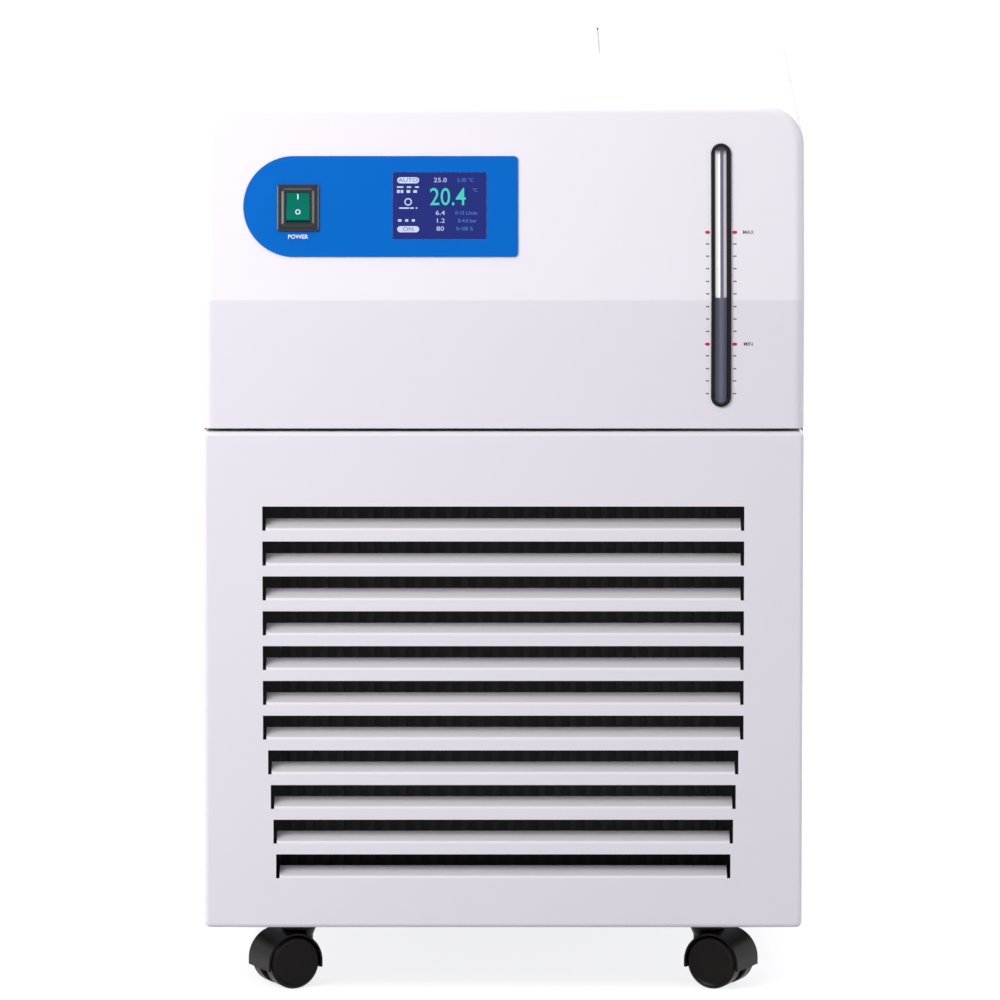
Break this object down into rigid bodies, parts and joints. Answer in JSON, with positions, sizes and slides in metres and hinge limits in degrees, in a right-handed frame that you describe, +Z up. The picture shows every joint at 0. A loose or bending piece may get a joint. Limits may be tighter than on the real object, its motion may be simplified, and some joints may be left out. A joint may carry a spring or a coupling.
{
  "type": "recirculating chiller",
  "caption": "Floor-standing recirculating chiller on twin-wheel casters, with louvred front, leaning control face, lit switch, display, level gauge, fill hatch and rear water ports.",
  "frame": {"origin": "on the floor under the middle of the object's box", "axes": "+Z up, the louvred front faces -Y, +X is the right-hand side seen from the front"},
  "size_m": [0.46, 0.5936, 0.688],
  "materials": {
    "shell_paint": "semi-gloss powder coat",
    "galvanised_steel": "galvanised sheet",
    "stainless_steel": "brushed",
    "zinc_steel": "zinc plated",
    "blue_panel": "satin overlay",
    "black_plastic": "fine grain",
    "trim_rubber": "smooth",
    "switch_green": "translucent, lit from within",
    "display_glass": "gloss",
    "circuit_board": "solder mask",
    "clear_tube": "clear",
    "copper": "drawn copper",
    "fin_aluminium": "mill finish",
    "machine_black": "gloss enamel",
    "pump_plastic": "glass-filled nylon",
    "port_brass": "nickel-free brass",
    "lever_red": "dipped vinyl",
    "caster_nylon": "moulded, polished"
  },
  "bodies": {
    "chassis": {"front_grille": "shell_paint", "hood": "shell_paint", "left_side_panel": "shell_paint", "right_side_panel": "shell_paint", "rear_panel": "shell_paint", "hood_rear_plate": "shell_paint", "base_pan": "galvanised_steel", "chassis_frame": "galvanised_steel", "mid_deck": "galvanised_steel", "fan_bracket": "galvanised_steel", "hatch_hinge": "galvanised_steel", "reservoir_tank": "stainless_steel", "tank_lid": "stainless_steel", "plate_exchanger": "stainless_steel", "panel_screws": "zinc_steel", "hinge_pin": "zinc_steel", "caster_stems": "zinc_steel", "control_plate": "blue_panel", "switch_body": "black_plastic", "gauge_channel": "black_plastic", "fan_shroud": "black_plastic", "power_inlet": "black_plastic", "display_module": "black_plastic", "gauge_trim": "trim_rubber", "compressor_feet": "trim_rubber", "water_hoses": "trim_rubber", "display_window": "display_glass", "control_board": "circuit_board", "gauge_tube": "clear_tube", "condenser_tubes": "copper", "discharge_line": "copper", "liquid_line": "copper", "suction_line": "copper", "filter_drier": "copper", "condenser_fins": "fin_aluminium", "compressor": "machine_black", "fan_motor": "machine_black", "pump_motor": "machine_black", "pump_head": "pump_plastic", "water_ports": "port_brass", "drain_valve": "port_brass"},
    "fill_hatch": {"fill_hatch": "shell_paint"},
    "fill_cap": {"fill_cap": "black_plastic"},
    "switch_rocker": {"switch_rocker": "switch_green"},
    "fan": {"fan_blades": "fin_aluminium"},
    "drain_lever": {"drain_lever": "lever_red"},
    "caster_front_left": {"caster_hood_front_left": "caster_nylon"},
    "wheel_a_front_left": {"caster_wheel_a_front_left": "caster_nylon"},
    "wheel_b_front_left": {"caster_wheel_b_front_left": "caster_nylon"},
    "caster_front_right": {"caster_hood_front_right": "caster_nylon"},
    "wheel_a_front_right": {"caster_wheel_a_front_right": "caster_nylon"},
    "wheel_b_front_right": {"caster_wheel_b_front_right": "caster_nylon"},
    "caster_rear_left": {"caster_hood_rear_left": "caster_nylon"},
    "wheel_a_rear_left": {"caster_wheel_a_rear_left": "caster_nylon"},
    "wheel_b_rear_left": {"caster_wheel_b_rear_left": "caster_nylon"},
    "caster_rear_right": {"caster_hood_rear_right": "caster_nylon"},
    "wheel_a_rear_right": {"caster_wheel_a_rear_right": "caster_nylon"},
    "wheel_b_rear_right": {"caster_wheel_b_rear_right": "caster_nylon"}
  },
  "joints": [
    {"name": "hatch_hinge", "type": "hinge", "parent": "chassis", "child": "fill_hatch", "pos_m": [0.138, 0.26875, 0.681], "axis": [-1, 0, 0], "range_deg": [0, 95]},
    {"name": "cap_lift", "type": "slide", "parent": "chassis", "child": "fill_cap", "axis": [0, 0, 1], "range_m": [0, 0.018]},
    {"name": "switch_rock", "type": "hinge", "parent": "chassis", "child": "switch_rocker", "pos_m": [-0.1568, -0.27893, 0.61213], "axis": [1, 0, 0], "range_deg": [0, 16]},
    {"name": "fan_spin", "type": "hinge", "parent": "chassis", "child": "fan", "pos_m": [0, -0.17525, 0.232], "axis": [0, 1, 0], "continuous": true},
    {"name": "drain_turn", "type": "hinge", "parent": "chassis", "child": "drain_lever", "pos_m": [0.1, 0.27475, 0.109], "axis": [0, 0, 1], "range_deg": [0, 90]},
    {"name": "swivel_front_left", "type": "hinge", "parent": "chassis", "child": "caster_front_left", "pos_m": [-0.1585, -0.24425, 0.05], "axis": [0, 0, 1], "continuous": true},
    {"name": "roll_a_front_left", "type": "hinge", "parent": "caster_front_left", "child": "wheel_a_front_left", "pos_m": [-0.16875, -0.24947, 0.0205], "axis": [-0.454, 0.891, 0], "continuous": true},
    {"name": "roll_b_front_left", "type": "hinge", "parent": "caster_front_left", "child": "wheel_b_front_left", "pos_m": [-0.16875, -0.24947, 0.0205], "axis": [-0.454, 0.891, 0], "continuous": true},
    {"name": "swivel_front_right", "type": "hinge", "parent": "chassis", "child": "caster_front_right", "pos_m": [0.1585, -0.24425, 0.05], "axis": [0, 0, 1], "continuous": true},
    {"name": "roll_a_front_right", "type": "hinge", "parent": "caster_front_right", "child": "wheel_a_front_right", "pos_m": [0.16875, -0.24947, 0.0205], "axis": [-0.454, -0.891, 0], "continuous": true},
    {"name": "roll_b_front_right", "type": "hinge", "parent": "caster_front_right", "child": "wheel_b_front_right", "pos_m": [0.16875, -0.24947, 0.0205], "axis": [-0.454, -0.891, 0], "continuous": true},
    {"name": "swivel_rear_left", "type": "hinge", "parent": "chassis", "child": "caster_rear_left", "pos_m": [-0.1585, 0.21375, 0.05], "axis": [0, 0, 1], "continuous": true},
    {"name": "roll_a_rear_left", "type": "hinge", "parent": "caster_rear_left", "child": "wheel_a_rear_left", "pos_m": [-0.1639, 0.2239, 0.0205], "axis": [0.8829, 0.4695, 0], "continuous": true},
    {"name": "roll_b_rear_left", "type": "hinge", "parent": "caster_rear_left", "child": "wheel_b_rear_left", "pos_m": [-0.1639, 0.2239, 0.0205], "axis": [0.8829, 0.4695, 0], "continuous": true},
    {"name": "swivel_rear_right", "type": "hinge", "parent": "chassis", "child": "caster_rear_right", "pos_m": [0.1585, 0.21375, 0.05], "axis": [0, 0, 1], "continuous": true},
    {"name": "roll_a_rear_right", "type": "hinge", "parent": "caster_rear_right", "child": "wheel_a_rear_right", "pos_m": [0.16493, 0.22328, 0.0205], "axis": [0.829, -0.5592, 0], "continuous": true},
    {"name": "roll_b_rear_right", "type": "hinge", "parent": "caster_rear_right", "child": "wheel_b_rear_right", "pos_m": [0.16493, 0.22328, 0.0205], "axis": [0.829, -0.5592, 0], "continuous": true}
  ]
}
